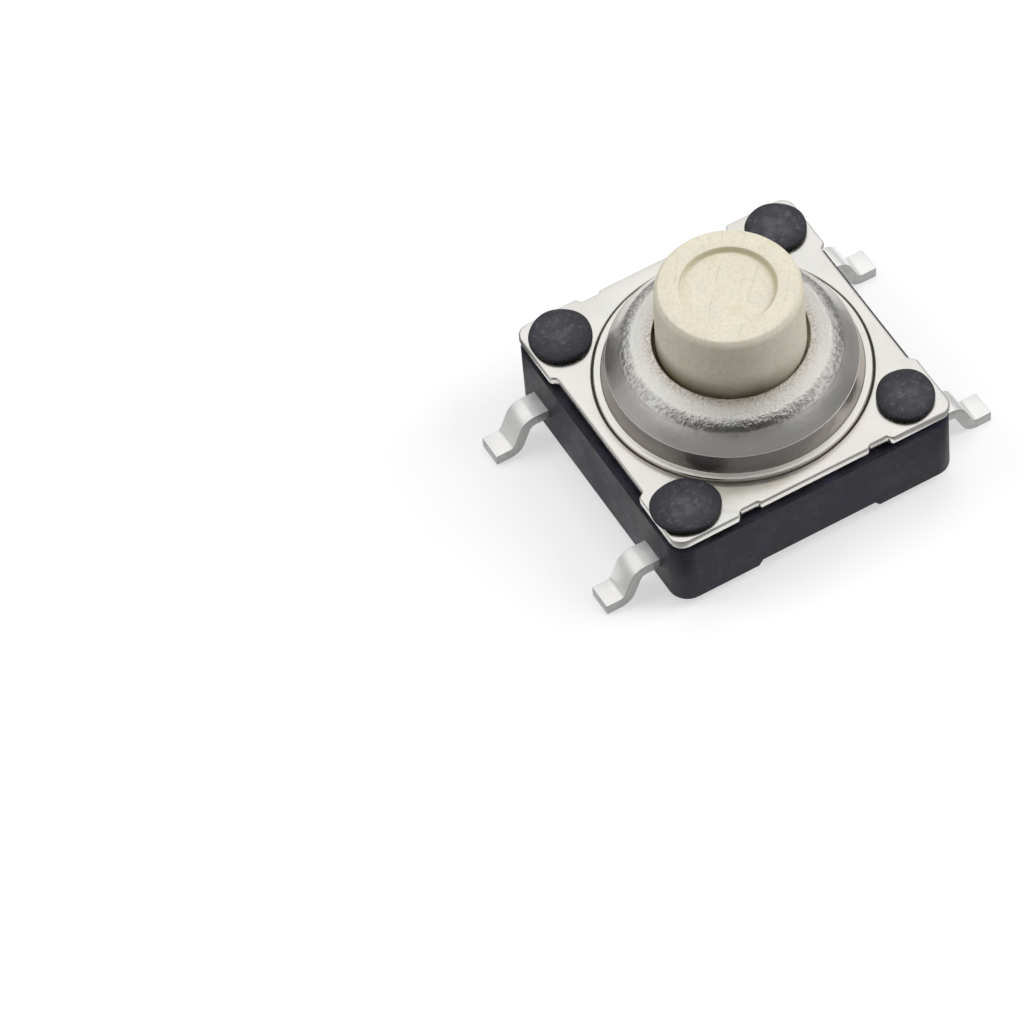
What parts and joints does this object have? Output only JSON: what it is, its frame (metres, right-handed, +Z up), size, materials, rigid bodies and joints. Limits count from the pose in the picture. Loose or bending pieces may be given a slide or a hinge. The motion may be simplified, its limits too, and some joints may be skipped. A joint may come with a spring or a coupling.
{
  "type": "tactile push button switch",
  "caption": "Small sealed surface-mount tactile push switch with a square metal cover, a drawn round collar, a round button and gull-wing leads.",
  "frame": {"origin": "on the board plane that the feet stand on, under the middle of the housing", "axes": "+X along the span of the leads, +Z up along the button's travel"},
  "size_m": [0.0086, 0.0062, 0.0046],
  "materials": {
    "housing_plastic": "satin",
    "cover_metal": "satin plated",
    "button_plastic": "satin",
    "seal_rubber": "matte",
    "snap_steel": "bright",
    "tinned_leads": "bright tinned"
  },
  "bodies": {
    "housing": {"base_housing": "housing_plastic", "cover_plate": "cover_metal", "seal_rubber": "seal_rubber", "snap_dome": "snap_steel", "contact_strip_centre": "tinned_leads", "contact_strip_side": "tinned_leads"},
    "button": {"button": "button_plastic"}
  },
  "joints": [
    {"name": "button_press", "type": "slide", "parent": "housing", "child": "button", "axis": [0, 0, -1], "range_m": [0, 0.00025], "stiffness_N_per_m": 6400, "deforming": ["seal_rubber", "snap_dome"]}
  ]
}
